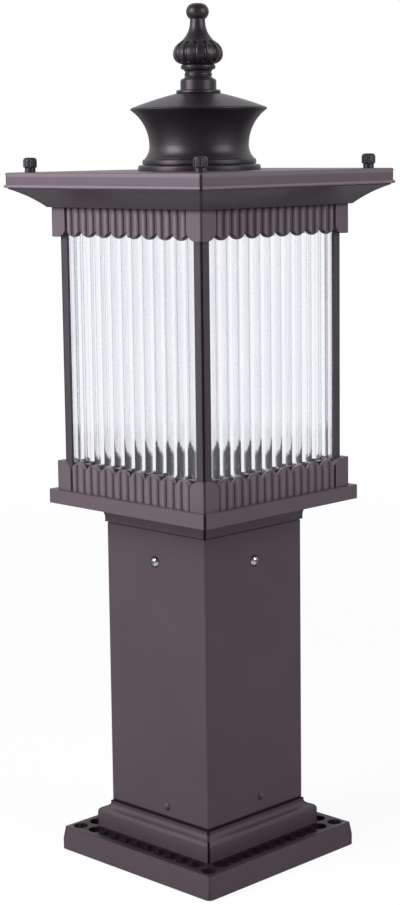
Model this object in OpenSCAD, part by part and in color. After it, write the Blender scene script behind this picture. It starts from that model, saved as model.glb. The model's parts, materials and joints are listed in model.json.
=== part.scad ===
// Square garden pillar lantern on a post: a glazed lantern with a clamped-on
// roof, standing on a square tube that is screwed to a cast anchor base.
// Origin: centre of the underside of the base. +Z up, front is -Y.

/* [Base] */
// Half width of the flange at the ground is the post half plus this and the plinth
flange_out = 25; // [23:0.5:36]
// Height of the flange
flange_h = 22; // [18:0.5:32]
// How much narrower each side of the flange is at its top
flange_draft = 3.2; // [0:0.1:4]
// Radius of the upright corners of the flange
flange_r = 5; // [2:0.5:8]
// How far the plinth stands out from the post
plinth_out = 10.5; // [9:0.5:16]
// Height of the plinth above the flange
plinth_h = 27; // [22:0.5:45]
// Wall of the base casting
base_wall = 6; // [4:0.5:8]
// Diameter of the anchor bolt holes
anchor_d = 14; // [8:0.5:16]
// Diameter of one pit in the carved row on the flange
pit_d = 16; // [12:0.5:17]
// Distance between the pits of the row
pit_pitch = 15; // [12:0.5:16]
// Depth of the pits
pit_depth = 5; // [2:0.5:6]

/* [Post] */
// Width of the square post
post_w = 130; // [108:1:156]
// Height of the post between base and collar
post_h = 272.5; // [150:0.5:500]
// Wall of the post tube
post_t = 3; // [2:0.5:5]
// Radius of the upright edges of the post
post_r = 2; // [0.5:0.5:2.5]
// Length of the sleeve that holds the foot of the post
socket_h = 35; // [28:1:60]
// Length of the spigot that hangs into the head of the post
spigot_h = 36.5; // [24:0.5:60]
// Wall of the sleeve and of the spigot
sleeve_t = 4; // [3:0.5:6]
// Diameter of the bright screws near the head of the post
upper_screw_d = 5; // [4:0.5:6]
// Drop of the bright screws below the head of the post
upper_screw_drop = 29; // [10:0.5:29.5]
// Diameter of the painted screws near the foot of the post
lower_screw_d = 4; // [3:0.5:5]
// Height of the painted screws above the base, front and back, then the sides
lower_screw_up = [10, 15]; // [8:0.5:22]
// Offset of the painted screws along their faces, front and back, then the sides
lower_screw_off = [11, 6]; // [0:0.5:20]

/* [Lantern] */
// Width of the lantern over its ribbed bands
body_w = 194; // [180:1:240]
// Clear height of glass between the two ribbed bands
glass_gap = 209.5; // [120:0.5:320]
// Overhang of the floor plate past the ribbed band
floor_out = 6; // [4:0.5:14]
// Height of the rim of the floor plate
floor_h = 13; // [10:0.5:20]
// Wall of the floor plate
floor_t = 3; // [2:0.5:5]
// Height of the moulded collar under the floor plate
collar_h = 20; // [18:0.5:28]
// Face width of one leg of a corner post
leg_w = 9.5; // [7:0.5:14]
// Wall of the corner posts
leg_t = 2; // [1.5:0.5:3]
// Thickness of the reeded glass where it lies behind the corner posts
pane_t = 4.1; // [3.5:0.1:6]
// Height of one reed of the glass above its valleys
reed_h = 3; // [0.5:0.1:3.2]
// Number of reeds that show in one pane
reeds = 12; // [6:1:16]

/* [Ribbed bands] */
// Height of a ribbed band
band_h = 27; // [22:0.5:40]
// Number of lobes along one band
lobes = 8; // [4:1:12]
// Width of the plain end of a band
band_end = 18; // [14:0.5:24]
// Height of a lobe from its notch to its tip
lobe_h = 6.5; // [3:0.5:8]
// Height of a rib above the groove beside it
rib_h = 2.2; // [0.8:0.1:2.4]
// Share of the spacing of the ribs that a rib fills, the rest being groove
rib_share = 0.6; // [0.5:0.05:0.9]
// Width of the plain edge that the ribs leave along the lobes
lobe_edge = 1.5; // [0.5:0.1:3]
// Width of the open joint where two bands meet at a corner
mitre_gap = 1; // [0.2:0.1:1.6]

/* [Roof] */
// Overhang of the roof past the ribbed band
roof_out = 31; // [24:0.5:50]
// Height of the coved soffit
cove_h = 18; // [14:0.5:30]
// Height of the fascia
fascia_h = 14; // [12:0.5:24]
// Sheet of the roof cover
cover_t = 2.5; // [2:0.5:4]
// Radius of the hollow of the soffit
cove_r = 80; // [50:1:150]
// Distance from the edge of the roof to the knobs
knob_in = 18; // [16:0.5:24]
// Diameter of the knobs
knob_d = 12.8; // [11:0.1:18]
// Height of the knobs
knob_h = 13.4; // [12:0.2:20]
// Diameter of the studs that the knobs screw on
stud_d = 6; // [5:0.5:6]
// Length of stud above the roof
stud_up = 9; // [6:0.5:10]
// Thickness of the seal under the roof cover
seal_t = 1.5; // [1:0.5:3]

/* [Vent cap] */
// Diameter of the lid
lid_d = 125; // [112:1:150]
// Thickness of the rim of the lid
lid_rim = 3; // [2:0.2:6]
// Rise of the lid from its rim to the finial
lid_rise = 12.6; // [8:0.1:24]
// Diameter of the waist of the neck
waist_d = 91.4; // [80:0.2:96]
// Height of the waist above the roof
waist_up = 22.5; // [18:0.5:28]
// Height of the neck
neck_h = 54; // [46:1:60]
// Wall of the neck
neck_t = 2; // [1.5:0.5:3]
// Height of each of the two rings at the foot of the neck
ring_h = 5.5; // [4:0.5:8]

/* [Finial] */
// Widest diameter of the finial's bulb
bulb_d = 45.6; // [42:0.2:52]
// Height of the finial
finial_h = 80.4; // [70:0.2:100]
// Diameter of the ball on the tip
tip_d = 20.8; // [18:0.2:24]
// Number of upright lobes round the bulb
gadroons = 14; // [8:1:16]
// Diameter of the threaded rod through the cap
rod_d = 6; // [5:0.5:6]

/* [Lamp holder] */
// Bore of the screw lamp holder
holder_bore = 26.6; // [20:0.2:28]
// Outside diameter of the lamp holder
holder_d = 40; // [36:0.5:46]
// Height of the lamp holder
holder_h = 34; // [30:0.5:40]
// Diameter of the cable way
cable_d = 18; // [12:0.5:24]

/* [Joints between castings] */
// Width of the open line along a mitre
seam_w = 1.4; // [0.4:0.1:2]
// Depth of the open line along a mitre
seam_d = 2.2; // [0.5:0.1:2.4]

/* [Fits] */
// Gap between pieces that slide into one another
slip = 0.3; // [0.2:0.05:0.5]
// Gap round a thread, on the radius
thread_fit = 0.05; // [0.02:0.01:0.1]
// Gap round a screw in its clearance hole, on the radius
hole_fit = 0.3; // [0.2:0.05:0.5]

/* [Hidden] */
$fn = 96;
e = 1;                                   // overshoot of a cut

// plan half widths
post_x = post_w / 2;
plinth_x = post_x + plinth_out;
flange_x = plinth_x + flange_out;
sleeve_x = post_x - post_t - slip;
body_x = body_w / 2;
floor_x = body_x + floor_out;
roof_x = body_x + roof_out;
cage_x = body_x - 5.4;                   // outer face of the corner posts
glass_x = cage_x - leg_t - slip;         // outer face of the glass behind the posts
glass_in = glass_x - pane_t;             // smooth inner face of the glass
rail_x = cage_x - leg_t - slip / 2;      // outer face of the two rails
lip_x = glass_in - slip;                 // outer face of the rail lips
rail_in = lip_x - 4.9;                   // inner face of the rails
knob_x = roof_x - knob_in;

// heights
base_h = flange_h + plinth_h;
post_top = base_h + post_h;
floor_bot = post_top + collar_h;
floor_top = floor_bot + floor_h;
band_low = floor_top;                    // foot of the lower band
glass_low = band_low + band_h;
band_high = glass_low + glass_gap;       // lowest point of the upper band
eave = band_high + band_h;               // underside of the roof frame
fascia_z = eave + cove_h;
roof_top = fascia_z + fascia_h;
lid_z = roof_top + neck_h;
finial_z = lid_z + lid_rim + lid_rise;

rail_h = 9.5;                            // depth of a rail under or over the glass
low_lip = band_h - rail_h - 1.5;         // lip inside the glass, to just below the lobes
high_lip = 8;                            // lip at the head of the glass
pane_bot = floor_top + rail_h;
pane_top = eave - rail_h - slip;
holder_z = floor_top + 6;                // seat of the lamp holder on its bracket

// ---- shapes shared by several pieces -------------------------------------

// Turns a right-hand outline, listed upward, into the whole symmetric outline.
function both_sides(p) =
    concat(p, [for (i = [len(p) - 1:-1:0]) [-p[i][0], p[i][1]]]);

// Radius of an arc over a chord of twice this half width, with this rise.
function arc_r(half, rise) = (half * half + rise * rise) / (2 * rise);

// Centre of the arc of radius r from a to b that bulges to the right of a-b.
function arc_centre(a, b, r) =
    (a + b) / 2 + sqrt(r * r - norm(b - a) * norm(b - a) / 4)
    * [a[1] - b[1], b[0] - a[0]] / norm(b - a);

// Half outline of a disc between two heights, its top and foot edges rounded.
module roll(r, z0, z1, top_r, foot_r) {
    translate([0, z0]) square([r - foot_r, z1 - z0 - top_r]);
    translate([0, z0 + foot_r]) square([r - top_r, z1 - z0 - foot_r]);
    translate([0, z0 + foot_r]) square([r, z1 - z0 - foot_r - top_r]);
    translate([r - foot_r, z0 + foot_r]) circle(foot_r);
    translate([r - top_r, z1 - top_r]) circle(top_r);
}

// A body of square plan whose side elevation is the child outline.
module square_plan(half) {
    intersection() {
        rotate([90, 0, 0])
            linear_extrude(2 * half + 2 * e, center = true) children();
        rotate([90, 0, 90])
            linear_extrude(2 * half + 2 * e, center = true) children();
    }
}

// A square prism between two heights.
module block(half, z0, z1) {
    translate([-half, -half, z0]) cube([2 * half, 2 * half, z1 - z0]);
}

// Square with round corners, in plan.
module round_square(half, r) {
    square([2 * half, 2 * (half - r)], center = true);
    square([2 * (half - r), 2 * half], center = true);
    for (x = [-1, 1], y = [-1, 1])
        translate([x * (half - r), y * (half - r)]) circle(r);
}

// Copies round the four sides, the first on the front.
module four_sides() {
    for (i = [0:3]) rotate([0, 0, 90 * i]) children();
}

// Copies at the four corners of a square.
module four_corners(half) {
    for (x = [-1, 1], y = [-1, 1]) translate([x * half, y * half, 0]) children();
}

// A level cylinder running inward from the front face of a square.
module inward(x, z, from, to, d) {
    translate([x, -from, z]) rotate([-90, 0, 0]) cylinder(d = d, h = from - to);
}

// Open line down each mitre of a square frame, cut this deep from the outside.
// The path lists the frame's outline upward, as half widths and heights.
module mitre_line(path, depth = seam_d) {
    out = sqrt(2) * max([for (p = path) p[0]]) + e;
    four_sides() rotate([0, 0, -45]) rotate([90, 0, 0])
        linear_extrude(seam_w, center = true) polygon(concat(
            [for (p = path) [sqrt(2) * p[0] - depth, p[1]]],
            [[out, path[len(path) - 1][1]], [out, path[0][1]]]
        ));
}

// ---- base ----------------------------------------------------------------

reveal_h = 1.2;                          // open line at either end of the post
reveal_in = 1.2;
bead_x = post_x + 1.5;                   // bead round the foot of the post
bead_r = 1.3;
bead_top = base_h - reveal_h;
ogee_r = (plinth_x - bead_x) / 2;        // both arcs of the plinth moulding
ogee_z = bead_top - 2 * bead_r - ogee_r; // where the two arcs meet
anchor_x = flange_x - 13.5;
pit_x = plinth_x + pit_d / 2;
pits = floor((2 * anchor_x - anchor_d - pit_d - 6) / pit_pitch) + 1;
pit_ceiling = flange_h - pit_depth - 3;  // hollow under the pits
plinth_ceiling = ogee_z - ogee_r - 3;    // hollow under the moulding
hollow_x = post_x - 3;                   // half width of the hollow under the post
bolt_x = sleeve_x - sleeve_t - 8;        // bolts that hold the sleeve down

module base_outline() {
    polygon(both_sides([
        [flange_x, 0], [flange_x - flange_draft, flange_h], [plinth_x, flange_h],
        [plinth_x, ogee_z - ogee_r], [plinth_x - ogee_r, ogee_z - ogee_r],
        [plinth_x - ogee_r, ogee_z], [bead_x, ogee_z + ogee_r],
        [bead_x - bead_r, ogee_z + ogee_r], [bead_x - bead_r, bead_top],
        [post_x - reveal_in, bead_top], [post_x - reveal_in, base_h]
    ]));
}

module base_casting() {
    color([0.42, 0.38, 0.40]) difference() {
        union() {
            difference() {
                intersection() {
                    square_plan(flange_x) difference() {
                        union() {
                            base_outline();
                            for (s = [-1, 1]) {
                                translate([s * (plinth_x - ogee_r), ogee_z - ogee_r])
                                    circle(ogee_r);
                                translate([s * (bead_x - bead_r), bead_top - bead_r])
                                    circle(bead_r);
                            }
                            translate([-bead_x - ogee_r, ogee_z - e])
                                square([2 * (bead_x + ogee_r), ogee_r + e]);
                        }
                        for (s = [-1, 1])
                            translate([s * (bead_x + ogee_r), ogee_z + ogee_r])
                                circle(ogee_r);
                    }
                    linear_extrude(base_h + e) round_square(flange_x, flange_r);
                }
                base_cavity();
            }
            // bosses round the anchor bolts
            intersection() {
                four_corners(anchor_x) cylinder(d = anchor_d + 10, h = flange_h);
                linear_extrude(flange_h)
                    round_square(flange_x - flange_draft, flange_r);
            }
        }
        four_corners(anchor_x)
            translate([0, 0, -e]) cylinder(d = anchor_d, h = flange_h + 3);
        four_sides() pit_row();
        mitre_line([
            [plinth_x, flange_h], [plinth_x, ogee_z - ogee_r],
            [plinth_x - ogee_r, ogee_z], [bead_x, ogee_z + ogee_r], [bead_x, bead_top]
        ]);
        translate([0, 0, base_h - base_wall - e])
            cylinder(d = cable_d + 4, h = base_wall + 2 * e);
        four_corners(bolt_x)
            translate([0, 0, base_h - base_wall - e])
                cylinder(d = 6, h = base_wall + 2 * e);
    }
}

module base_cavity() {
    block(flange_x - base_wall, -e, pit_ceiling);
    block(plinth_x - base_wall, -e, plinth_ceiling);
    block(hollow_x, -e, base_h - base_wall);
}

// The carved row: overlapping round pits sunk in the top of the flange.
module pit_row() {
    translate([0, -pit_x, flange_h - pit_depth])
        linear_extrude(pit_depth + e)
            for (i = [0:pits - 1])
                translate([(i - (pits - 1) / 2) * pit_pitch, 0]) circle(d = pit_d);
}

module base_grommet() {
    color([0.10, 0.10, 0.10]) grommet(base_h - base_wall, base_h, cable_d + 4);
}

// A rubber ring with a lip on each side of the plate that it lines.
module grommet(z0, z1, d) {
    difference() {
        union() {
            translate([0, 0, z0]) cylinder(d = d - 0.1, h = z1 - z0);
            translate([0, 0, z1]) cylinder(d = d + 6, h = 2);
            translate([0, 0, z0 - 2]) cylinder(d = d + 6, h = 2);
        }
        translate([0, 0, z0 - 3]) cylinder(d = d - 6, h = z1 - z0 + 6);
    }
}

// ---- post ----------------------------------------------------------------

// Cuts or screws for the painted screws at the foot of the post.
module lower_screws_at(from, to, d) {
    for (i = [0:3])
        rotate([0, 0, 90 * i])
            inward(lower_screw_off[i % 2], base_h + lower_screw_up[i % 2], from, to, d);
}

module upper_screws_at(from, to, d) {
    four_sides() inward(0, post_top - upper_screw_drop, from, to, d);
}

module post_socket() {
    color([0.60, 0.60, 0.62]) difference() {
        block(sleeve_x, base_h, base_h + socket_h);
        block(sleeve_x - sleeve_t, base_h + sleeve_t, base_h + socket_h + e);
        block(bolt_x - 9, base_h - e, base_h + socket_h);
        four_corners(bolt_x)
            translate([0, 0, base_h - e]) cylinder(d = 6.6, h = sleeve_t + 2 * e);
        lower_screws_at(post_x, sleeve_x - sleeve_t - e, lower_screw_d);
    }
}

module socket_bolts() {
    color([0.72, 0.72, 0.74]) four_corners(bolt_x) {
        translate([0, 0, base_h + sleeve_t]) cylinder(r = 5.6, h = 4, $fn = 6);
        translate([0, 0, base_h - base_wall - 3])
            cylinder(d = 6 - 2 * thread_fit, h = base_wall + sleeve_t + 4);
    }
}

module post_tube() {
    color([0.38, 0.34, 0.37]) difference() {
        translate([0, 0, base_h]) linear_extrude(post_h) difference() {
            round_square(post_x, post_r);
            square(2 * (post_x - post_t), center = true);
        }
        lower_screws_at(post_x + e, post_x - post_t - e, lower_screw_d + 2 * hole_fit);
        upper_screws_at(post_x + e, post_x - post_t - e, upper_screw_d + 2 * hole_fit);
    }
}

module lower_post_screws() {
    color([0.42, 0.38, 0.40]) {
        for (i = [0:3]) rotate([0, 0, 90 * i])
            translate([lower_screw_off[i % 2], -post_x, base_h + lower_screw_up[i % 2]])
                rotate([90, 0, 0]) button_head(2 * lower_screw_d, 0.6 * lower_screw_d);
        lower_screws_at(post_x + 1, sleeve_x - sleeve_t - 1.5,
                        lower_screw_d - 2 * thread_fit);
    }
}

// Button head screws with a hexagon socket.
module upper_post_screws() {
    head_d = 1.85 * upper_screw_d;
    color([0.86, 0.86, 0.88]) difference() {
        union() {
            four_sides() translate([0, -post_x, post_top - upper_screw_drop])
                rotate([90, 0, 0]) button_head(head_d, 0.55 * upper_screw_d);
            upper_screws_at(post_x + 1, sleeve_x - sleeve_t - 1.5,
                            upper_screw_d - 2 * thread_fit);
        }
        four_sides() translate([0, -post_x - 4, post_top - upper_screw_drop])
            rotate([-90, 0, 0]) cylinder(d = 3.4, h = 3, $fn = 6);
    }
}

// A low domed screw head on the plane z = 0.
module button_head(d, h) {
    rotate_extrude() intersection() {
        translate([0, h - arc_r(d / 2, h)]) circle(arc_r(d / 2, h));
        square([d, h]);
    }
}

// ---- neck and floor of the lantern ---------------------------------------

collar_x = post_x + 1.5;                 // bead that rests on the post
collar_bead = 4.5;
collar_r = collar_h - collar_bead;       // hollow from the bead to the floor plate
neck_x = floor_x - floor_t - slip;       // plate that fills the floor plate
floor_bolt_x = rail_in - 13.3;           // clear of the lower rail

// A point on the hollow of the collar, this many degrees round from its foot.
function collar_at(a) = [collar_x + collar_r * (1 - cos(a)),
                         post_top + collar_bead + collar_r * sin(a)];

module neck_casting() {
    color([0.40, 0.36, 0.39]) difference() {
        union() {
            block(sleeve_x, post_top - spigot_h, post_top + reveal_h);
            block(post_x - reveal_in, post_top, post_top + reveal_h + e);
            square_plan(floor_x) difference() {
                polygon(both_sides([
                    [collar_x, post_top + reveal_h], [collar_x, post_top + collar_bead],
                    [collar_x + collar_r, post_top + collar_bead],
                    [collar_x + collar_r, floor_bot]
                ]));
                for (s = [-1, 1])
                    translate([s * (collar_x + collar_r), post_top + collar_bead])
                        circle(collar_r);
            }
            block(neck_x, floor_bot, floor_top - floor_t);
        }
        block(sleeve_x - sleeve_t, post_top - spigot_h - e, floor_top - floor_t - 4);
        translate([0, 0, floor_bot]) cylinder(d = cable_d + 12, h = floor_h);
        upper_screws_at(post_x, sleeve_x - sleeve_t - e, upper_screw_d);
        four_corners(floor_bolt_x)
            translate([0, 0, floor_bot + 0.5]) cylinder(d = 6, h = floor_h);
        mitre_line(concat([[collar_x, post_top + reveal_h]],
                          [for (a = [0:22.5:90]) collar_at(a)]));
    }
}

module floor_plate() {
    color([0.40, 0.36, 0.39]) difference() {
        block(floor_x, floor_bot, floor_top);
        block(floor_x - floor_t, floor_bot - e, floor_top - floor_t);
        translate([0, 0, floor_bot]) cylinder(d = cable_d, h = floor_h + e);
        four_corners(floor_bolt_x)
            translate([0, 0, floor_bot]) cylinder(d = 6.6, h = floor_h + e);
        holder_screws_at(floor_bot, floor_top + e, 4);
        mitre_line([[floor_x, floor_bot - e], [floor_x, floor_top + e]]);
    }
}

module floor_bolts() {
    color([0.72, 0.72, 0.74]) four_corners(floor_bolt_x) {
        translate([0, 0, floor_top]) cylinder(r = 5.6, h = 4, $fn = 6);
        translate([0, 0, floor_bot + 1])
            cylinder(d = 6 - 2 * thread_fit, h = floor_h);
    }
}

module floor_grommet() {
    color([0.10, 0.10, 0.10]) grommet(floor_top - floor_t, floor_top, cable_d);
}

// ---- cage ----------------------------------------------------------------

screw_z = rail_h / 2;                    // band screws from the end of the cage
band_screw_x = rail_in - 8;              // their place along the side
band_screw_d = 4;

// A square ring with a lip along its inner edge; z runs up from the outer end.
module rail(lip_h) {
    difference() {
        union() {
            block(rail_x, 0, rail_h);
            block(lip_x, 0, rail_h + lip_h);
        }
        block(rail_in, -e, rail_h + lip_h + e);
        four_sides() for (s = [-1, 1])
            inward(s * band_screw_x, screw_z, rail_x + e, rail_in - e,
                   band_screw_d + 2 * hole_fit);
    }
}

module lower_rail() {
    color([0.20, 0.18, 0.19]) translate([0, 0, floor_top]) rail(low_lip);
}

module upper_rail() {
    color([0.20, 0.18, 0.19]) difference() {
        translate([0, 0, eave]) mirror([0, 0, 1]) rail(high_lip);
        frame_screws_at(eave - rail_h, eave + e, frame_screw_d);
    }
}

module corner_post(turn) {
    color([0.32, 0.29, 0.31]) rotate([0, 0, turn]) difference() {
        translate([cage_x - leg_w, -cage_x, floor_top])
            cube([leg_w, leg_w, eave - floor_top]);
        translate([cage_x - leg_w - e, -cage_x + leg_t, floor_top - e])
            cube([leg_w + e - leg_t, leg_w, eave - floor_top + 2 * e]);
        mitre_line([[cage_x, floor_top - e], [cage_x, eave + e]], 0.6 * leg_t);
    }
}

module corner_post_front_right() corner_post(0);
module corner_post_back_right() corner_post(90);
module corner_post_back_left() corner_post(180);
module corner_post_front_left() corner_post(270);

// Reeded glass: a row of upright reeds outside, between the posts, smooth inside.
pane_x = glass_in - slip;                // half width, clear of the next pane
show_x = cage_x - leg_w - slip;          // half width of the reeded stretch
crest_x = cage_x - slip;                 // crest of the reeds
valley_x = crest_x - reed_h - 0.2;       // plate under the reeds
reed_pitch = 2 * show_x / reeds;
reed_r = arc_r(reed_pitch / 2, reed_h);

module pane(turn) {
    color([0.80, 0.86, 0.88, 0.5]) rotate([0, 0, turn])
        translate([0, 0, pane_bot]) linear_extrude(pane_top - pane_bot)
            union() {
                for (s = [0, 1]) mirror([s, 0]) translate([show_x, -glass_x])
                    square([pane_x - show_x, pane_t]);
                translate([-show_x, -valley_x]) square([2 * show_x, valley_x - glass_in]);
                intersection() {
                    for (i = [0:reeds - 1])
                        translate([(i - (reeds - 1) / 2) * reed_pitch,
                                   -crest_x + reed_r])
                            circle(reed_r);
                    translate([-show_x, -crest_x - e])
                        square([2 * show_x, crest_x - valley_x + e + 0.4]);
                }
            }
}

module pane_front() pane(0);
module pane_right() pane(90);
module pane_back() pane(180);
module pane_left() pane(270);

// ---- ribbed bands --------------------------------------------------------

lobe_pitch = (body_w - 2 * band_end) / lobes;
lobe_r = arc_r(lobe_pitch / 2, lobe_h);
rib_pitch = lobe_pitch / 2;
rib_r = arc_r(rib_share * rib_pitch / 2, rib_h);
ribs_x = body_x - band_end;              // half length of the ribbed stretch
rib_foot = body_x - rib_h - 0.3;         // floor of the grooves between the ribs
band_back = body_x - 4.6;                // back of the ribbed stretch

// Outline of one band seen from outside: straight edge up, lobes down.
module band_elevation() {
    translate([-body_x, lobe_r]) square([body_w, band_h - lobe_r]);
    for (s = [-1, 1])
        translate([s > 0 ? ribs_x + lobe_pitch / 2 : -body_x, 0])
            square([band_end - lobe_pitch / 2, lobe_r + e]);
    for (i = [-1:lobes])
        translate([(i - (lobes - 1) / 2) * lobe_pitch, lobe_r]) circle(lobe_r);
}

// Plan of one band without its ribs: a thin plate between two plain ends.
module band_plan() {
    difference() {
        polygon([[-body_x, -body_x], [body_x, -body_x],
                 [cage_x, -cage_x], [-cage_x, -cage_x]]);
        translate([-ribs_x, -body_x - e]) square([2 * ribs_x, body_x - rib_foot + e]);
        translate([-ribs_x, -band_back]) square([2 * ribs_x, band_back - cage_x + e]);
    }
}

// Plan of the half-round ribs.
module rib_plan() {
    intersection() {
        for (i = [0:2 * lobes - 1])
            translate([(i - lobes + 0.5) * rib_pitch, -body_x + rib_r]) circle(rib_r);
        translate([-ribs_x, -body_x - e])
            square([2 * ribs_x, body_x - rib_foot + 0.5 + e]);
    }
}

// What lies behind the outline of a band, drawn this far up.
module band_front(up) {
    translate([0, -cage_x + 2, 0]) rotate([90, 0, 0]) linear_extrude(20)
        intersection() {
            translate([0, up]) band_elevation();
            translate([-body_x, 0]) square([body_w, band_h]);
        }
}

module band() {
    difference() {
        union() {
            intersection() {
                linear_extrude(band_h) band_plan();
                band_front(0);
            }
            intersection() {
                linear_extrude(band_h) rib_plan();
                band_front(lobe_edge);
            }
            // screw bosses that bear on the rail
            for (s = [-1, 1])
                inward(s * band_screw_x, band_h - screw_z, band_back + 0.5, rail_x,
                       band_screw_d + 5);
        }
        // half of the open joint at each end
        for (s = [-1, 1]) translate([s * body_x, -body_x, -e])
            rotate([0, 0, s > 0 ? 45 : 135])
                translate([-20, -mitre_gap / 2, 0]) cube([40, mitre_gap, band_h + 2]);
        for (s = [-1, 1])
            inward(s * band_screw_x, band_h - screw_z, band_back + 1.4, rail_x - e,
                   band_screw_d);
    }
}

module frieze(turn) {
    color([0.45, 0.41, 0.43]) rotate([0, 0, turn])
        translate([0, 0, band_high]) band();
}

module gallery(turn) {
    color([0.45, 0.41, 0.43]) rotate([0, 0, turn])
        translate([0, 0, glass_low]) mirror([0, 0, 1]) band();
}

module frieze_front() frieze(0);
module frieze_right() frieze(90);
module frieze_back() frieze(180);
module frieze_left() frieze(270);
module gallery_front() gallery(0);
module gallery_right() gallery(90);
module gallery_back() gallery(180);
module gallery_left() gallery(270);

// Screws from inside, through the rail, into the bosses of a band.
module band_screws() {
    four_sides() for (s = [-1, 1]) {
        inward(s * band_screw_x, screw_z, rail_in, rail_in - 2.4, 7);
        inward(s * band_screw_x, screw_z, band_back + 1, rail_in - 1,
               band_screw_d - 2 * thread_fit);
    }
}

module gallery_screws() {
    color([0.72, 0.72, 0.74]) translate([0, 0, floor_top]) band_screws();
}

module frieze_screws() {
    color([0.72, 0.72, 0.74]) translate([0, 0, eave])
        mirror([0, 0, 1]) band_screws();
}

// ---- roof frame ----------------------------------------------------------

frame_x = roof_x - 3.3;                  // upright rim inside the fascia
rim_t = 3;
cover_in = frame_x + slip + 0.1;         // inner face of the fascia
ledge_x = body_x + 2.7;                  // inner end of the soffit
seal_z = roof_top - cover_t - seal_t;    // seat of the seal on the rim
frame_screw_x = (rail_x + rail_in) / 2;
frame_screw_y = body_x / 2;
frame_screw_d = 4;
boss_d = 2 * stud_d;

// Centre of the hollow of the soffit, from its two ends and its radius.
cove_a = [ledge_x, eave];
cove_b = [frame_x, fascia_z - 1];
cove_c = arc_centre(cove_b, cove_a, cove_r);

module frame_outline() {
    difference() {
        polygon(both_sides([
            cove_a, cove_b + [0, -3], cove_b, [frame_x, seal_z]
        ]));
        for (s = [-1, 1]) translate([s * cove_c[0], cove_c[1]])
            circle(cove_r, $fn = 180);
    }
}

module frame_screws_at(z0, z1, d) {
    for (i = [0:3]) rotate([0, 0, 90 * i]) for (s = [-1, 1])
        translate([s * frame_screw_y, -frame_screw_x, z0]) cylinder(d = d, h = z1 - z0);
}

module roof_frame() {
    color([0.30, 0.27, 0.29]) difference() {
        union() {
            difference() {
                square_plan(frame_x) frame_outline();
                // inside of the frame, one wall in from the soffit
                square_plan(frame_x) polygon(both_sides([
                    [ledge_x - 2, eave + 3.5], [frame_x - rim_t, fascia_z + 2.5],
                    [frame_x - rim_t, seal_z + e]
                ]));
            }
            intersection() {
                four_corners(knob_x)
                    translate([0, 0, eave]) cylinder(d = boss_d, h = seal_z - eave);
                square_plan(frame_x) frame_outline();
            }
        }
        block(rail_in, eave - e, seal_z);
        four_corners(knob_x)
            translate([0, 0, seal_z - 12]) cylinder(d = stud_d, h = 12 + e);
        frame_screws_at(eave - e, eave + 5, frame_screw_d + 2 * hole_fit);
    }
}

module frame_screws() {
    color([0.72, 0.72, 0.74]) {
        frame_screws_at(eave + 3.5, eave + 5.7, 7);
        frame_screws_at(eave - 8, eave + 4, frame_screw_d - 2 * thread_fit);
    }
}

module roof_studs() {
    color([0.60, 0.60, 0.62]) four_corners(knob_x)
        translate([0, 0, seal_z - 12])
            cylinder(d = stud_d - 2 * thread_fit, h = roof_top + stud_up - seal_z + 12);
}

module roof_seal() {
    color([0.10, 0.10, 0.10]) difference() {
        block(frame_x, seal_z, seal_z + seal_t);
        block(frame_x - rim_t, seal_z - e, seal_z + seal_t + e);
    }
}

// ---- roof cover and knobs ------------------------------------------------

edge_r = 2;                              // rounding of the top edge
bead_h = 3;                              // half-round bead along the foot of the fascia
fascia_x = roof_x - bead_h / 2;          // face of the fascia above the bead
cap_hole = waist_d - 2 * neck_t - 2;     // opening under the vent cap
foot_x = waist_d / 2 + 10.8;             // lower ring of the vent cap
ring_x = foot_x - 4.1;                   // upper ring
cap_screw_r = (waist_d / 2 - neck_t + ring_x) / 2;

module roof_cover() {
    color([0.50, 0.46, 0.48]) difference() {
        square_plan(roof_x) union() {
            polygon(both_sides([
                [fascia_x, fascia_z], [fascia_x, roof_top - edge_r],
                [fascia_x - edge_r, roof_top - edge_r], [fascia_x - edge_r, roof_top]
            ]));
            for (s = [-1, 1]) {
                translate([s * fascia_x, fascia_z + bead_h / 2]) circle(d = bead_h);
                translate([s * (fascia_x - edge_r), roof_top - edge_r]) circle(edge_r);
            }
        }
        block(cover_in, fascia_z - e, roof_top - cover_t);
        translate([0, 0, roof_top - cover_t - e])
            cylinder(d = cap_hole, h = cover_t + 2 * e);
        four_corners(knob_x) translate([0, 0, roof_top - cover_t - e])
            cylinder(d = stud_d + 2 * hole_fit, h = cover_t + 2 * e);
        cap_screws_at(roof_top - cover_t - e, roof_top + e, 4 + 2 * hole_fit);
        mitre_line([[roof_x, fascia_z - e], [roof_x, fascia_z + bead_h]]);
        mitre_line([[fascia_x, fascia_z], [fascia_x, roof_top - edge_r]], 0.45 * seam_d);
    }
}

// A barrel nut on a narrower foot, with eight flutes for the fingers.
knob_foot = 4;                           // height of its foot
flute_d = 3.8;
flute_x = knob_d / 2 + 1;

module knob(x, y) {
    color([0.20, 0.18, 0.19]) translate([x * knob_x, y * knob_x, roof_top])
        difference() {
            rotate_extrude() {
                roll(knob_d / 2, knob_foot, knob_h, 0.24 * knob_d, 1.5);
                square([stud_d / 2 + 2, knob_foot + e]);
            }
            translate([0, 0, -e]) cylinder(d = stud_d, h = stud_up + 1 + e);
            for (i = [0:7]) rotate([0, 0, 45 * i])
                translate([flute_x, 0, knob_foot - e]) cylinder(d = flute_d, h = knob_h);
        }
}

module knob_front_right() knob(1, -1);
module knob_back_right() knob(1, 1);
module knob_back_left() knob(-1, 1);
module knob_front_left() knob(-1, -1);

// ---- vent cap and finial -------------------------------------------------

neck_mid = roof_top + waist_up;
neck_in = waist_d / 2 - neck_t;          // bore below the waist
flare_x = lid_d / 2 - 1.2;               // head of the neck, just inside the lid's rim
flare_r = arc_r(neck_h - waist_up, flare_x - waist_d / 2);
flare_c = [waist_d / 2 + flare_r, neck_mid];
hem_x = waist_d / 2 + 4.5;               // where the hollow ends on the rings
ring_line = 0.4;                         // open line over each ring
hem_r = arc_r(waist_up - 2 * ring_h, hem_x - waist_d / 2);

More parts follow.
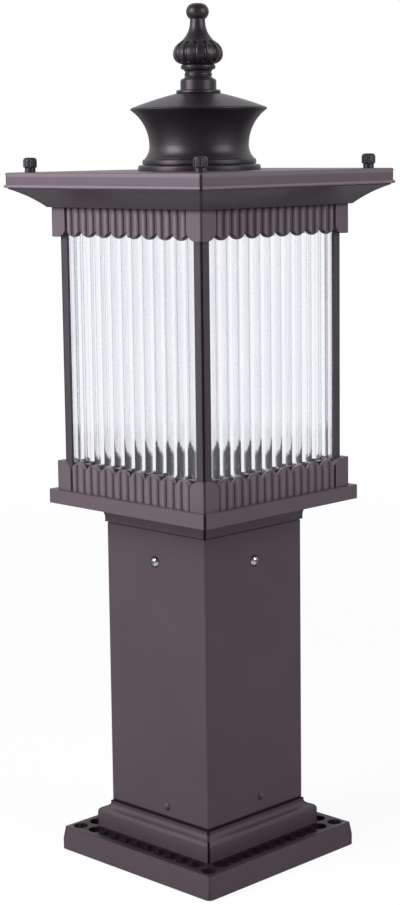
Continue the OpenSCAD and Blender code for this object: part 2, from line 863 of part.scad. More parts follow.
module cap_screws_at(z0, z1, d) {
    for (a = [45:90:315]) rotate([0, 0, a]) translate([cap_screw_r, 0, z0])
        cylinder(d = d, h = z1 - z0);
}

// Turned neck: two rings at the foot and a hollow that flares to the lid.
module cap_neck() {
    color([0.22, 0.20, 0.21]) difference() {
        rotate_extrude() {
            // above the waist, one wall thick
            difference() {
                translate([neck_in, neck_mid])
                    square([flare_x - neck_in, neck_h - waist_up]);
                translate(flare_c) circle(flare_r);
                difference() {
                    translate([0, neck_mid]) square([flare_c[0], neck_h]);
                    translate(flare_c) circle(flare_r + neck_t);
                }
            }
            // below it
            difference() {
                translate([neck_in, roof_top + e])
                    square([hem_x - neck_in, waist_up - e]);
                translate([waist_d / 2 + hem_r, neck_mid]) circle(hem_r);
            }
            difference() {
                union() {
                    for (r = [[foot_x, 0], [ring_x, ring_h]])
                        roll(r[0], roof_top + r[1], roof_top + r[1] + ring_h - ring_line,
                             0.4 * ring_h, 0.6);
                }
                translate([0, roof_top - e]) square([neck_in, 2 * ring_h + 2 * e]);
            }
        }
        cap_screws_at(roof_top - e, roof_top + 9, 4);
    }
}

module cap_screws() {
    color([0.72, 0.72, 0.74]) {
        cap_screws_at(roof_top - cover_t - 2.2, roof_top - cover_t, 7);
        cap_screws_at(roof_top - cover_t - 1, roof_top + 8, 4 - 2 * thread_fit);
    }
}

// A thin lid, slightly domed from its rounded rim up to the seat of the finial.
lid_top = 20;                            // radius of that seat
lid_arc = 340;                           // radius of the dome's outline
lid_t = 3;                               // wall of the dome
lid_seat = 6.5;                          // width of the flat ring on the neck

module cap_lid() {
    edge = [lid_d / 2 - lid_rim / 2, lid_z + lid_rim];
    color([0.22, 0.20, 0.21]) rotate_extrude() difference() {
        union() {
            intersection() {
                translate(arc_centre(edge, [lid_top, finial_z], lid_arc))
                    circle(lid_arc, $fn = 720);
                translate([0, lid_z]) square([edge[0], finial_z - lid_z]);
            }
            roll(lid_d / 2, lid_z, lid_z + lid_rim, 0.48 * lid_rim, 0.48 * lid_rim);
        }
        // hollow underneath and the hole for the rod
        polygon([[0, lid_z - e], [lid_d / 2 - lid_seat, lid_z - e],
                 [lid_d / 2 - lid_seat, lid_z + lid_rim - 0.6 * lid_t],
                 [lid_top - 1, finial_z - lid_t], [0, finial_z - lid_t]]);
        translate([0, lid_z]) square([rod_d / 2 + hole_fit, finial_z]);
    }
}

bridge_t = 3;
bridge_z = roof_top - cover_t - bridge_t;

module rod_bridge() {
    color([0.60, 0.60, 0.62]) difference() {
        translate([-cap_hole / 2 - 8, -8, bridge_z])
            cube([cap_hole + 16, 16, bridge_t]);
        translate([0, 0, bridge_z - e])
            cylinder(d = rod_d + 2 * hole_fit, h = bridge_t + 2 * e);
    }
}

module finial_rod() {
    color([0.60, 0.60, 0.62]) translate([0, 0, bridge_z - 7])
        cylinder(d = rod_d - 2 * thread_fit, h = finial_z + 26 - bridge_z + 7);
}

module rod_nut() {
    color([0.72, 0.72, 0.74]) difference() {
        translate([0, 0, bridge_z - 5]) cylinder(r = 5.77, h = 5, $fn = 6);
        translate([0, 0, bridge_z - 6]) cylinder(d = rod_d, h = 7);
    }
}

// The finial's outline runs up two arcs of the bulb and the arc of its throat.
stem_r = 12;
belly = [bulb_d / 2, finial_h - 45.4];   // widest point of the bulb
above_r = 12.2;                          // the bulb's arc above it
below_r = 8.9;                           // and below it
above_c = belly - [above_r, 0];
below_c = belly - [below_r, 0];
throat_c = [30, finial_h - 16];          // hollow between the bulb and the tip
throat_r = norm(throat_c - above_c) - above_r;
throat_a = atan2(throat_c[1] - above_c[1], throat_c[0] - above_c[0]);
tip_r = 7.6;                             // rounding of the tip
valley_r = 2.5;                          // rounding of the valleys between the lobes
valley_arc = 11.5;                       // each valley runs on an arc outside the bulb
valley_c = belly + [1 - valley_arc, 0.9];

// Foot disc, drum and two beads: radius, foot, top, rounding of top and foot.
finial_rings = [
    [20.4, 0, 3, 1.6, 0.6], [16.5, 2, 12.6, 2, 1],
    [stem_r + 0.7, 15.4, 18.2, 1.1, 1.1], [15.9, 21.4, 25.9, 2.1, 2.1]
];
// Hollows beside the small bead: radius, height of the centre, foot and top.
finial_hollows = [[3.6, 16.4, 12, 16.4], [3.4, 18.2, 18.2, 22]];

module finial_foot() {
    for (r = finial_rings) roll(r[0], r[1], r[2], r[3], r[4]);
    for (h = finial_hollows) difference() {
        translate([0, h[2]]) square([stem_r + h[0], h[3] - h[2]]);
        translate([stem_r + h[0], h[1]]) circle(h[0]);
    }
    square([stem_r, belly[1]]);
}

// Bulb, throat and tip.
module finial_bulb() {
    difference() {
        union() {
            translate(below_c) circle(below_r);
            translate([0, belly[1] - below_r - e]) square([below_c[0], below_r + e]);
        }
        translate([0, belly[1]]) square([bulb_d, below_r + e]);
    }
    intersection() {
        translate(above_c) circle(above_r);
        translate([0, belly[1]]) square([bulb_d, above_r]);
    }
    translate([0, belly[1]]) square([above_c[0], above_r]);
    difference() {
        translate([0, above_c[1] + above_r * sin(throat_a)])
            square([above_c[0] + above_r * cos(throat_a),
                    throat_c[1] - above_c[1] - above_r * sin(throat_a)]);
        translate(throat_c) circle(throat_r);
    }
    translate([0, throat_c[1]])
        square([throat_c[0] - throat_r, finial_h - tip_r - throat_c[1]]);
    translate([tip_d / 2 - tip_r, finial_h - tip_r]) circle(tip_r);
    translate([0, finial_h - 2 * tip_r]) square([tip_d / 2 - tip_r, 2 * tip_r]);
}

// A round bar that cuts one valley between two lobes of the bulb.
module valley() {
    translate([valley_c[0], 0, valley_c[1]]) rotate([90, 0, 0]) rotate([0, 0, -57])
        rotate_extrude(angle = 132) translate([valley_arc, 0]) circle(valley_r, $fn = 24);
}

module finial() {
    color([0.20, 0.18, 0.19]) translate([0, 0, finial_z]) difference() {
        rotate_extrude() intersection() {
            union() {
                finial_foot();
                finial_bulb();
            }
            square([bulb_d, finial_h]);
        }
        for (i = [0:gadroons - 1]) rotate([0, 0, 360 / gadroons * i]) valley();
        translate([0, 0, -e]) cylinder(d = rod_d, h = 28 + e);
    }
}

// ---- lamp holder and wiring ----------------------------------------------

bracket_x = holder_d / 2 + 12;
nipple_d = 10;

module holder_screws_at(z0, z1, d) {
    for (s = [-1, 1]) translate([s * (bracket_x - 4), 0, z0])
        cylinder(d = d, h = z1 - z0);
}

module holder_bracket() {
    color([0.20, 0.18, 0.19]) difference() {
        union() {
            translate([-bracket_x, -15, holder_z - 1.5]) cube([2 * bracket_x, 30, 1.5]);
            for (s = [-1, 1])
                translate([s * (bracket_x - 4) - 4, -15, floor_top])
                    cube([8, 30, holder_z - floor_top]);
        }
        translate([0, 0, holder_z - 3]) cylinder(d = nipple_d + 2 * hole_fit, h = 4);
        holder_screws_at(floor_top - e, holder_z + e, 4 + 2 * hole_fit);
    }
}

module holder_screws() {
    color([0.72, 0.72, 0.74]) {
        holder_screws_at(holder_z, holder_z + 2.2, 7);
        holder_screws_at(floor_top - floor_t, holder_z + 1, 4 - 2 * thread_fit);
    }
}

// Hollow threaded nipple with its lock nut, which holds the lamp holder down.
module holder_nipple() {
    color([0.78, 0.66, 0.38]) difference() {
        union() {
            translate([0, 0, holder_z - 3.5])
                cylinder(d = nipple_d - 2 * thread_fit, h = 9.5);
            translate([0, 0, holder_z - 3.5]) cylinder(r = 8, h = 2, $fn = 6);
        }
        translate([0, 0, holder_z - 5]) cylinder(d = nipple_d - 3, h = 12);
    }
}

module lamp_holder() {
    color([0.10, 0.09, 0.09]) difference() {
        union() {
            translate([0, 0, holder_z]) cylinder(d = holder_d, h = holder_h - 6);
            translate([0, 0, holder_z]) cylinder(d = holder_d - 5, h = holder_h);
        }
        translate([0, 0, holder_z + 8]) cylinder(d = holder_bore, h = holder_h);
        translate([0, 0, holder_z - e]) cylinder(d = nipple_d, h = 8 + e + e);
    }
}

module terminal_block() {
    color([0.10, 0.09, 0.09]) translate([0, 48, floor_top]) difference() {
        translate([-22, -8, 0]) cube([44, 16, 13]);
        for (i = [-1:1]) translate([i * 13, 0, 0]) {
            translate([0, -9, 6]) rotate([-90, 0, 0]) cylinder(d = 4, h = 18);
            translate([0, 0, 6]) cylinder(d = 4.4, h = 8);
        }
    }
}

// ---- assembly ------------------------------------------------------------

base_casting();
base_grommet();
post_socket();
socket_bolts();
post_tube();
lower_post_screws();
neck_casting();
upper_post_screws();
floor_plate();
floor_bolts();
floor_grommet();
lower_rail();
gallery_front();
gallery_right();
gallery_back();
gallery_left();
gallery_screws();
corner_post_front_right();
corner_post_back_right();
corner_post_back_left();
corner_post_front_left();
pane_front();
pane_right();
pane_back();
pane_left();
upper_rail();
frieze_front();
frieze_right();
frieze_back();
frieze_left();
frieze_screws();
roof_frame();
frame_screws();
roof_studs();
roof_seal();
roof_cover();
knob_front_right();
knob_back_right();
knob_back_left();
knob_front_left();
cap_neck();
cap_screws();
cap_lid();
rod_bridge();
finial_rod();
rod_nut();
finial();
holder_bracket();
holder_nipple();
lamp_holder();
holder_screws();
terminal_block();
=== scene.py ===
"""Square pillar lantern on a post: looks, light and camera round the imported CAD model."""
import json
import math
import bpy
from mathutils import Matrix, Vector

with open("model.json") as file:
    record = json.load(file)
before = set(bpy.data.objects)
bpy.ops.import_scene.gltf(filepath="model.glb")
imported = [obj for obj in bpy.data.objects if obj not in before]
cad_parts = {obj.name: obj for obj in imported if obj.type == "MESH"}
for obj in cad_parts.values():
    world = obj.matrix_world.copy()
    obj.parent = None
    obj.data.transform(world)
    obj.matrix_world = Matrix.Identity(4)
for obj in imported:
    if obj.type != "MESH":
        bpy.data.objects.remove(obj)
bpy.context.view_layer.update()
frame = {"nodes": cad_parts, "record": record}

MM = 0.001                   # all lengths are in metres
scene = bpy.context.scene

# ---- camera ---------------------------------------------------------------
# Fitted to the corners of the roof, lantern, post and base in the 400 x 905 photograph.

PHOTO_H = 905
FOCAL_PX = 1928.9            # focal length, in pixels of the photograph
PRINCIPAL_PX = 3.0           # the optical axis lies this far right of the middle
CAMERA_DISTANCE = 1.7927     # level distance from the axis of the post
CAMERA_HEIGHT = 0.6732
CAMERA_TURN = math.radians(-45.35)   # from +X, seen from above
CAMERA_DIP = 0.1583          # below level, in radians
CAMERA_ROLL = -0.0126        # in radians
SENSOR = 36.0
CLIP_END = 100


def make_camera():
    out = Vector((math.cos(CAMERA_TURN), math.sin(CAMERA_TURN), 0))
    plumb = Vector((0, 0, 1))
    right = plumb.cross(out)
    ahead = -out * math.cos(CAMERA_DIP) - plumb * math.sin(CAMERA_DIP)
    up = right.cross(ahead)
    c, s = math.cos(CAMERA_ROLL), math.sin(CAMERA_ROLL)
    side = right * c + up * s
    top = up * c - right * s
    data = bpy.data.cameras.new("camera")
    data.sensor_width = SENSOR
    data.lens = FOCAL_PX / PHOTO_H * SENSOR
    data.shift_x = -PRINCIPAL_PX / PHOTO_H
    data.clip_end = CLIP_END
    camera = bpy.data.objects.new("camera", data)
    turn = Matrix((side, top, -ahead)).transposed().to_4x4()
    place = out * CAMERA_DISTANCE + plumb * CAMERA_HEIGHT
    camera.matrix_world = Matrix.Translation(place) @ turn
    scene.collection.objects.link(camera)
    scene.camera = camera


# ---- node helpers ---------------------------------------------------------

def node(tree, kind, **settings):
    """A new node. A setting goes to the input of that name, or else to the node itself."""
    made = tree.nodes.new(kind)
    for key, value in settings.items():
        if key in made.inputs:
            made.inputs[key].default_value = value
        else:
            setattr(made, key, value)
    return made


def new_material(name):
    """An empty material, its tree, and the coordinates of the piece that wears it."""
    material = bpy.data.materials.new(name)
    material.use_nodes = True
    tree = material.node_tree
    tree.nodes.clear()
    return material, tree, node(tree, "ShaderNodeTexCoord").outputs["Object"]


def noise(tree, coordinates, size, detail=2.0, rough=0.5):
    """Noise whose features are about size metres across."""
    made = node(tree, "ShaderNodeTexNoise", Scale=1 / size, Detail=detail, Roughness=rough)
    tree.links.new(coordinates, made.inputs["Vector"])
    return made.outputs["Fac"]


def mapped(tree, value, **ends):
    made = node(tree, "ShaderNodeMapRange", **ends)
    tree.links.new(value, made.inputs["Value"])
    return made.outputs["Result"]


def ramp(tree, value, low, high):
    """Maps low..high to 0..1, clamped."""
    return mapped(tree, value, **{"From Min": low, "From Max": high})


def spread(tree, value, low, high):
    """Maps 0..1 to low..high, clamped."""
    return mapped(tree, value, **{"To Min": low, "To Max": high})


def maths(tree, operation, a, b=None):
    made = node(tree, "ShaderNodeMath", operation=operation)
    for i, v in enumerate((a, b)):
        if v is None:
            continue
        if isinstance(v, (int, float)):
            made.inputs[i].default_value = v
        else:
            tree.links.new(v, made.inputs[i])
    return made.outputs[0]


def times(tree, a, b):
    return maths(tree, "MULTIPLY", a, b)


def least(tree, a, b):
    return maths(tree, "MINIMUM", a, b)


def most(tree, first, *others):
    for other in others:
        first = maths(tree, "MAXIMUM", first, other)
    return first


def over(tree, value, limit):
    """1 where value is greater than limit, 0 elsewhere."""
    return maths(tree, "GREATER_THAN", value, limit)


def under(tree, value, limit):
    """1 where value is less than limit, 0 elsewhere."""
    return maths(tree, "LESS_THAN", value, limit)


def gap(tree, a, b):
    return maths(tree, "ABSOLUTE", maths(tree, "SUBTRACT", a, b))


def fade(tree, value, low, high):
    """Maps low..high to 1..0, clamped."""
    return maths(tree, "SUBTRACT", 1.0, ramp(tree, value, low, high))


def band_between(tree, value, low, high, soft):
    """1 between low and high, fading over soft to either side."""
    return times(tree, ramp(tree, value, low - soft, low), fade(tree, value, high, high + soft))


def blend_colours(tree, factor, a, b):
    made = node(tree, "ShaderNodeMix", data_type="RGBA")
    for socket, v in ((made.inputs["Factor"], factor), (made.inputs[6], a), (made.inputs[7], b)):
        if isinstance(v, tuple):
            socket.default_value = (*v, 1)
        elif isinstance(v, (int, float)):
            socket.default_value = v
        else:
            tree.links.new(v, socket)
    return made.outputs[2]


def drifting(tree, value, dark, light, low=0.3, high=0.7):
    """A colour that goes from dark to light as a noise goes from low to high."""
    return blend_colours(tree, ramp(tree, value, low, high), dark, light)


def scaled(colour, by):
    return tuple(min(1.0, by * v) for v in colour)


def relief(tree, height, strength, depth):
    bump = node(tree, "ShaderNodeBump", Strength=strength, Distance=depth)
    tree.links.new(height, bump.inputs["Height"])
    return bump


def dress(tree, shader, tone, roughness, bump):
    """Gives a Principled shader its colour, roughness and bump."""
    tree.links.new(tone, shader.inputs["Base Color"])
    tree.links.new(roughness, shader.inputs["Roughness"])
    tree.links.new(bump.outputs["Normal"], shader.inputs["Normal"])


def mix_shaders(tree, factor, a, b):
    mixed = node(tree, "ShaderNodeMixShader")
    tree.links.new(factor, mixed.inputs["Fac"])
    tree.links.new(a, mixed.inputs[1])
    tree.links.new(b, mixed.inputs[2])
    return mixed.outputs["Shader"]


def surface(tree, shader, kind="ShaderNodeOutputMaterial"):
    tree.links.new(shader, node(tree, kind).inputs["Surface"])


# ---- sizes of the model ---------------------------------------------------

RIB_CREST = 0.097            # half width of the lantern over its ribs
RIBS_END = 0.0797            # half length of the ribbed stretch of a band
FASCIA = 0.1265              # half width of the roof
PITS_WITHIN = 92.5 * MM      # half width that the carved row of the flange lies within
FLANGE_CORNER = 74 * MM, 88 * MM     # where a corner of the flange begins, and where it is full
CORNER_ACROSS = 140 * MM     # x and y differ by less at the left and right corners
PITS_FROM = 16.5 * MM        # just under the floor of the carved row; heights from here on
FLANGE_TOP = 0.022
POST_FOOT = 0.049
GLASS_MIDDLE = 0.5
EAVE = 0.618
FASCIA_FOOT = 0.636
ROOF_TOP = 0.650

# ---- colours, most of them as a dark and a light tone -----------------------

SHEEN = (1.0, 0.88, 0.98)    # of the highlights on paint
# the colour of painted shade, and of the painted dark reflection on the flange top
PAINTED_SHADE_TONE = (0.007, 0.005, 0.007)
BRONZE = (0.080, 0.058, 0.073), (0.090, 0.066, 0.082)
# lit copies of the bronze paint: painted light on the tray and roof, stronger on the ribs of the
# bands
LIT_BRONZE = (0.112, 0.085, 0.105), (0.126, 0.096, 0.118)
LIT_RIB_BRONZE = (0.162, 0.126, 0.149), (0.180, 0.141, 0.168)
# shaded copies of the bronze paint: painted shade on the soffit under the roof, and on the corner
# posts
SHADED_UNDER_BRONZE = (0.046, 0.036, 0.045), (0.054, 0.043, 0.052)
SHADED_CAGE_BRONZE = (0.056, 0.045, 0.054), (0.064, 0.052, 0.062)
BLACK = (0.010, 0.008, 0.010), (0.014, 0.011, 0.014)
GLASS_DEEP, GLASS_PALE = (0.925, 0.938, 0.968), (0.955, 0.963, 0.985)
METALS = {                   # colour and roughness
    "bright_steel": ((0.80, 0.80, 0.81), 0.14),
    "zinc_steel": ((0.60, 0.61, 0.62), 0.38),
    "brass": ((0.72, 0.54, 0.25), 0.3),
}
MOULDINGS = {                # dark and light tone, roughness, size and strength of the skin
    "black_rubber": ((0.016, 0.016, 0.017), (0.030, 0.030, 0.031), 0.72, 1.2 * MM, 0.2),
    "black_plastic": ((0.012, 0.011, 0.011), (0.020, 0.018, 0.018), 0.35, 4 * MM, 0.08),
}

# ---- painted shade and painted highlights -----------------------------------
# How far each place is darkened by painted shade, or made paler by painted highlights, from 0 to
# 1.

SOFT = 1.0 * MM              # the edge of a patch of painted shade fades over this
MITRE_HAIR = 1.1 * MM, 2.7 * MM      # half width of the dark hair of painted shade in a mitre, and where it has faded out
# painted shade in the mitre seams: its strength, and its strength below a given height
MITRE_SHADE, LOW_MITRE_SHADE = 0.7, 0.25
# painted dark reflection of the plinth and post on the flange top: its strength, and at the left
# and right corners
FLANGE_DARK_REFLECTION, CORNER_DARK_REFLECTION = 0.62, 0.25
# painted shade: in the carved row of the flange, in the joint at the foot of the post, and on the
# post's foot and round its screws
PIT_SHADE, JOINT_SHADE, POST_SHADE = 0.8, 0.85, 0.8
JOINT_FROM = POST_FOOT - 2.6 * MM
# painted shade on the foot of the post reaches up to here
FOOT_SHADE_TO = POST_FOOT + 0.7 * MM
SCREW_RING = 5.2 * MM        # radius of the ring of painted shade round each bright screw head
GROOVES_TO = RIB_CREST - 2.3 * MM    # painted shade fills the grooves as far out as this
GROOVE_SHADE = 0.12, 0.42    # painted shade in the grooves, in the lower band and in the upper
# painted shade on the plain ends of the bands, and under the eave
END_SHADE, EAVE_SHADE_STRENGTH = 0.25, 0.7
EAVE_SHADE = EAVE - 5.5 * MM, EAVE - 1.0 * MM
BEAD = FASCIA_FOOT + 0.6 * MM, FASCIA_FOOT + 2.4 * MM, 0.8 * MM      # the band of painted highlight on the fascia's bead: foot, top, softness
TOP_EDGE = ROOF_TOP - 3.4 * MM, ROOF_TOP - 1.2 * MM, 0.9 * MM
# strength of the painted highlights on the bead and on the top edge of the fascia
BEAD_HIGHLIGHT, TOP_EDGE_HIGHLIGHT = 0.85, 0.5


def axes(tree, place):
    split = node(tree, "ShaderNodeSeparateXYZ")
    tree.links.new(place, split.inputs[0])
    return [split.outputs[axis] for axis in "XYZ"]


def plan_axes(tree, place):
    """The distances from the middle along X and along Y, and the height."""
    x, y, z = axes(tree, place)
    return maths(tree, "ABSOLUTE", x), maths(tree, "ABSOLUTE", y), z


def mitre_shade(tree, place, low=0.0):
    """Painted shade: a dark hair along the diagonals in plan, in the seams where mitred pieces
    meet.
    It is fainter below the height low."""
    x, y, z = plan_axes(tree, place)
    hair = fade(tree, gap(tree, x, y), *MITRE_HAIR)
    return times(tree, hair, spread(tree, over(tree, z, low), LOW_MITRE_SHADE, MITRE_SHADE))


def roof_shade(tree, place):
    """Painted shade in the mitres of the fascia, and nothing on the flat top."""
    x, y, _ = plan_axes(tree, place)
    outside = over(tree, most(tree, x, y), FASCIA - 1.5 * MM)
    return times(tree, mitre_shade(tree, place), outside)


def roof_highlight(tree, place):
    """Painted highlights on the bead at the foot of the fascia, and on its top edge."""
    _, _, z = plan_axes(tree, place)
    return most(tree, times(tree, band_between(tree, z, *BEAD), BEAD_HIGHLIGHT),
                times(tree, band_between(tree, z, *TOP_EDGE), TOP_EDGE_HIGHLIGHT))


def base_shade_and_reflection(tree, place):
    """Painted shade in the mitres of the plinth, in the joint at the foot of the post and in the
    carved row sunk in the flange; and a painted dark reflection of the plinth and post on the top
    of the flange, fainter at its left and right corners."""
    x, y, z = plan_axes(tree, place)
    signed_x, signed_y, _ = axes(tree, place)
    pits = times(tree, over(tree, z, PITS_FROM), under(tree, most(tree, x, y), PITS_WITHIN))
    corner = times(tree, ramp(tree, least(tree, x, y), *FLANGE_CORNER),
                   under(tree, gap(tree, signed_x, signed_y), CORNER_ACROSS))
    top = times(tree, over(tree, z, FLANGE_TOP - 0.3 * MM),
                spread(tree, corner, FLANGE_DARK_REFLECTION, CORNER_DARK_REFLECTION))
    flange = times(tree, most(tree, times(tree, pits, PIT_SHADE), top),
                   under(tree, z, FLANGE_TOP + 0.3 * MM))
    joint = times(tree, ramp(tree, z, JOINT_FROM, JOINT_FROM + SOFT), JOINT_SHADE)
    return most(tree, flange, joint, mitre_shade(tree, place, FLANGE_TOP + 0.5 * MM))


def mid_height(name):
    part = frame["nodes"][name]
    heights = [(part.matrix_world @ Vector(c)).z for c in part.bound_box]
    return (min(heights) + max(heights)) / 2


def post_shade(tree, place):
    """Painted shade on the foot of the post, and a ring of painted shade round each bright screw
    head.
    """
    x, y, z = plan_axes(tree, place)
    foot = fade(tree, z, FOOT_SHADE_TO, FOOT_SHADE_TO + SOFT)
    aside = least(tree, x, y)
    up = maths(tree, "SUBTRACT", z, mid_height("upper_post_screws"))
    squares = maths(tree, "ADD", times(tree, aside, aside), times(tree, up, up))
    ring = fade(tree, maths(tree, "SQRT", squares), SCREW_RING, SCREW_RING + SOFT)
    return times(tree, most(tree, foot, ring), POST_SHADE)


def band_shade(tree, place):
    """Painted shade in the grooves between the ribs, a little way behind their crests, deeper in
    the upper band; on the plain ends; under the eave; and along the mitres."""
    x, y, z = plan_axes(tree, place)
    groove = times(tree, fade(tree, most(tree, x, y), GROOVES_TO, GROOVES_TO + SOFT),
                   spread(tree, over(tree, z, GLASS_MIDDLE), *GROOVE_SHADE))
    end = times(tree, over(tree, least(tree, x, y), RIBS_END), END_SHADE)
    eave = times(tree, ramp(tree, z, *EAVE_SHADE), EAVE_SHADE_STRENGTH)
    return most(tree, groove, end, eave, mitre_shade(tree, place))


# ---- materials ------------------------------------------------------------

WEAR = 0.05                  # how far wear moves the roughness, either way
COAT_ROUGHNESS, COAT_SHINE = 0.40, 0.5
# sheen where the painted shade is full
SHADED_SHINE = 0.1
FLECK_SHARE, FLECK_GAIN = 0.25, 1.7
HIGHLIGHT_GAIN = 1.9               # painted highlights are this many times as pale as the coat


def powder_coat(name, tones, roughness=COAT_ROUGHNESS, shine=COAT_SHINE, painted_shade=None, painted_highlight=None):
    """Satin powder coat: fine orange peel, tiny flecks, slow drift of tone, rounded edges.

    The first of the two optional functions of (tree, place) gives 0..1: how far the coat is
    darkened by painted shade, and in places by a painted dark reflection.
    The second gives 0..1: how far the coat is paler with painted highlights.
    """
    material, tree, place = new_material(name)
    dark, light = tones
    tone = drifting(tree, noise(tree, place, 70 * MM, 3), dark, light)
    fleck = ramp(tree, noise(tree, place, 1.1 * MM, 1), 0.62, 0.75)
    tone = blend_colours(tree, times(tree, fleck, FLECK_SHARE), tone, scaled(light, FLECK_GAIN))
    # painted highlights: a paler tone where the mask says
    if painted_highlight:
        tone = blend_colours(tree, painted_highlight(tree, place), tone, scaled(light, HIGHLIGHT_GAIN))
    paint = node(tree, "ShaderNodeBsdfPrincipled", IOR=1.5,
                 **{"Specular Tint": (*SHEEN, 1), "Specular IOR Level": shine})
    # painted shade: a darker tone and less sheen where the mask says
    if painted_shade:
        shade_mask = painted_shade(tree, place)
        tone = blend_colours(tree, shade_mask, tone, PAINTED_SHADE_TONE)
        tree.links.new(spread(tree, shade_mask, shine, SHADED_SHINE),
                       paint.inputs["Specular IOR Level"])
    peel = relief(tree, noise(tree, place, 1.6 * MM, 2, 0.6), 0.2, 0.12 * MM)
    edge = node(tree, "ShaderNodeBevel", samples=4, Radius=0.6 * MM)
    tree.links.new(edge.outputs["Normal"], peel.inputs["Normal"])
    worn = noise(tree, place, 20 * MM, 4)
    dress(tree, paint, tone, spread(tree, worn, roughness - WEAR, roughness + WEAR), peel)
    surface(tree, paint.outputs["BSDF"])
    return material


def metal(name, colour, roughness):
    """Plated or bare metal with fine scratches, rougher where it is stained."""
    material, tree, place = new_material(name)
    stain = noise(tree, place, 12 * MM, 3)
    scratches = relief(tree, noise(tree, place, 0.8 * MM, 2, 0.7), 0.15, 0.05 * MM)
    steel = node(tree, "ShaderNodeBsdfPrincipled", Metallic=1.0)
    dress(tree, steel, drifting(tree, stain, scaled(colour, 0.82), colour),
          spread(tree, stain, roughness - WEAR, roughness + 1.6 * WEAR), scratches)
    surface(tree, steel.outputs["BSDF"])
    return material


def plain_moulding(name, dark, light, roughness, size, strength):
    """Rubber or plastic: slow drift of tone and a fine skin."""
    material, tree, place = new_material(name)
    skin = relief(tree, noise(tree, place, size, 2), strength, 0.1 * MM)
    worn = noise(tree, place, 10 * MM)
    moulding = node(tree, "ShaderNodeBsdfPrincipled")
    dress(tree, moulding, drifting(tree, noise(tree, place, 15 * MM, 3), dark, light),
          spread(tree, worn, roughness - WEAR, roughness + WEAR), skin)
    surface(tree, moulding.outputs["BSDF"])
    return material


def reeded_glass(name):
    """Clear pressed glass with a very slow unevenness. Lamps shine through it."""
    material, tree, place = new_material(name)
    uneven = relief(tree, noise(tree, place, 30 * MM, 1), 0.04, 0.1 * MM)
    tint = drifting(tree, noise(tree, place, 50 * MM, 2), GLASS_DEEP, GLASS_PALE, 0.35, 0.65)
    glass = node(tree, "ShaderNodeBsdfPrincipled", IOR=1.5, **{"Transmission Weight": 1.0})
    dress(tree, glass, tint, spread(tree, noise(tree, place, 30 * MM, 2), 0.0, 0.04), uneven)
    clear = node(tree, "ShaderNodeBsdfTransparent", Color=(*GLASS_PALE, 1))
    lamp_ray = node(tree, "ShaderNodeLightPath").outputs["Is Shadow Ray"]
    surface(tree, mix_shaders(tree, lamp_ray, glass.outputs["BSDF"], clear.outputs["BSDF"]))
    return material


def finish_pieces():
    """Gives each piece the finish of its material slot, or one of its own."""
    finishes = {
        "bronze_paint": powder_coat("bronze_paint", BRONZE),
        "dark_paint": powder_coat("dark_paint", BLACK, roughness=0.38, shine=0.78),
        "reeded_glass": reeded_glass("reeded_glass"),
    }
    finishes.update({name: metal(name, *look) for name, look in METALS.items()})
    finishes.update({name: plain_moulding(name, *look) for name, look in MOULDINGS.items()})
    # lit and shaded copies of the bronze paint: painted light on the tray and roof, painted shade
    # on the soffit
    special = {
        "base_casting": powder_coat("bronze_paint_base", BRONZE, painted_shade=base_shade_and_reflection),
        "neck_casting": powder_coat("bronze_paint_mitred", BRONZE, painted_shade=mitre_shade),
        "post_tube": powder_coat("bronze_paint_post", BRONZE, painted_shade=post_shade),
        "floor_plate": powder_coat("bronze_paint_tray_lit", LIT_BRONZE, painted_shade=mitre_shade),
        "roof_frame": powder_coat("bronze_paint_soffit_shaded", SHADED_UNDER_BRONZE, painted_shade=mitre_shade),
        "roof_cover": powder_coat("bronze_paint_roof_lit", LIT_BRONZE, painted_shade=roof_shade, painted_highlight=roof_highlight),
    }
    # a lit copy of the bronze paint on the ribs: painted light
    ribs = powder_coat("bronze_paint_ribs_lit", LIT_RIB_BRONZE, roughness=0.36, painted_shade=band_shade)
    # a shaded copy of the bronze paint on the corner posts: painted shade
    cage = powder_coat("bronze_paint_cage_shaded", SHADED_CAGE_BRONZE, painted_shade=mitre_shade)
    slots = {part["node"]: part["material_slot"] for part in frame["record"]["subparts"]}
    for name, part in frame["nodes"].items():
        finish = special.get(name, finishes[slots[name]])
        if name.startswith(("gallery_", "frieze_")) and not name.endswith("screws"):
            finish = ribs
        elif name.startswith("corner_post_"):
            finish = cage
        part.data.materials.clear()
        part.data.materials.append(finish)


# ---- light and ground -----------------------------------------------------

FLOOR_RADIUS, FLOOR_DROP = 30, 0.0002
FLOOR_TONES = (0.23, 0.23, 0.23), (0.27, 0.27, 0.27)
GLOW = 1.53, 1.66            # the ground's own white, near the object and far from it,
GLOW_REACH = 0.5, 3.0        # within these two distances
GLOW_SEEN, GLOW_MIRRORED = 0.6, 0.2  # its share where it is seen, and in a mirror image
STUDIO_BACK = (-0.707, 0.707, 0.0)   # away from the camera
STUDIO_TURN = -0.3, 0.7      # towards the back, the studio goes from dim to pale between these
STUDIO_LIGHT = 0.10, 0.80    # dim and pale, as mirrored in paint and metal
STUDIO_TINT = (0.97, 0.97, 1.0)
WORLD_LIGHT = 0.22           # on matt surfaces
HIGH_AIM, LOW_AIM = (0, 0, 0.6), (0, 0, 0.5)
LIGHTS = [                   # name, place, aim, width and height, watts, shows in the glass
    ("key", (-0.35, -1.10, 1.05), HIGH_AIM, (0.7, 0.8), 11, True),
    ("key_low", (-0.30, -1.00, 0.66), LOW_AIM, (0.8, 0.8), 6.5, False),
    ("fill", (1.20, 0.30, 1.05), HIGH_AIM, (0.8, 0.8), 6, True),
    ("fill_low", (1.05, 0.28, 0.66), LOW_AIM, (0.8, 0.8), 3, False),
]


def seen(tree, path):
    """1 for what the camera sees, straight or through the glass."""
    return most(tree, path.outputs["Is Camera Ray"], path.outputs["Is Transmission Ray"])


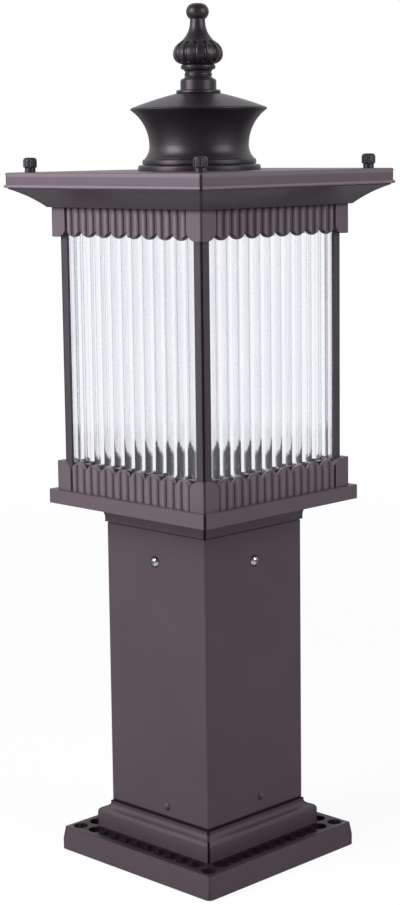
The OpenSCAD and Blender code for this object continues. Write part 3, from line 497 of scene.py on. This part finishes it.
def make_floor():
    """Pale ground that keeps a soft shadow: part diffuse, part a white of its own. The white is
    a little lower round the object, where the lamps add to it."""
    bpy.ops.mesh.primitive_circle_add(vertices=96, radius=FLOOR_RADIUS, fill_type="NGON",
                                      location=(0, 0, -FLOOR_DROP))
    floor = bpy.context.object
    floor.name = "floor"
    material, tree, place = new_material("pale_floor")
    matt = node(tree, "ShaderNodeBsdfDiffuse")
    tree.links.new(blend_colours(tree, noise(tree, place, 0.5, 3), *FLOOR_TONES),
                   matt.inputs["Color"])
    reach = node(tree, "ShaderNodeVectorMath", operation="LENGTH")
    tree.links.new(place, reach.inputs[0])
    glow = node(tree, "ShaderNodeEmission")
    tree.links.new(spread(tree, ramp(tree, reach.outputs["Value"], *GLOW_REACH), *GLOW),
                   glow.inputs["Strength"])
    path = node(tree, "ShaderNodeLightPath")
    share = most(tree, times(tree, seen(tree, path), GLOW_SEEN),
                 times(tree, path.outputs["Is Glossy Ray"], GLOW_MIRRORED))
    surface(tree, mix_shaders(tree, share, matt.outputs["BSDF"], glow.outputs["Emission"]))
    floor.data.materials.append(material)


def make_world():
    """White for the camera and through the glass. Paint and metal mirror a studio that is pale
    at the back and dim in front, and matt surfaces get a soft grey light."""
    world = bpy.data.worlds.new("studio")
    scene.world = world
    world.use_nodes = True
    tree = world.node_tree
    tree.nodes.clear()
    path = node(tree, "ShaderNodeLightPath")
    back = node(tree, "ShaderNodeVectorMath", operation="DOT_PRODUCT")
    tree.links.new(node(tree, "ShaderNodeTexCoord").outputs["Generated"], back.inputs[0])
    back.inputs[1].default_value = STUDIO_BACK
    pale = ramp(tree, back.outputs["Value"], *STUDIO_TURN)
    lit = node(tree, "ShaderNodeMix", data_type="FLOAT")
    tree.links.new(path.outputs["Is Glossy Ray"], lit.inputs["Factor"])
    lit.inputs[2].default_value = WORLD_LIGHT
    tree.links.new(spread(tree, pale, *STUDIO_LIGHT), lit.inputs[3])
    light = node(tree, "ShaderNodeBackground", Color=(*STUDIO_TINT, 1))
    tree.links.new(lit.outputs[0], light.inputs["Strength"])
    white = node(tree, "ShaderNodeBackground", Color=(1, 1, 1, 1), Strength=1.0)
    mixed = mix_shaders(tree, seen(tree, path), light.outputs["Background"],
                        white.outputs["Background"])
    surface(tree, mixed, "ShaderNodeOutputWorld")


def area_light(name, place, aim, size, power, mirrored):
    data = bpy.data.lights.new(name, "AREA")
    data.shape = "RECTANGLE"
    data.size, data.size_y = size
    data.energy = power
    lamp = bpy.data.objects.new(name, data)
    lamp.location = place
    lamp.rotation_euler = (Vector(aim) - Vector(place)).to_track_quat("-Z", "Y").to_euler()
    lamp.visible_glossy = lamp.visible_transmission = mirrored
    scene.collection.objects.link(lamp)


def make_lights():
    """Soft boxes left and right, high for the sheen on the cap and low for the body. They stand
    near the lantern, so that the light falls off down the post."""
    for light in LIGHTS:
        area_light(*light)


make_camera()
make_world()
make_floor()
make_lights()
finish_pieces()

scene.view_settings.view_transform = "Standard"
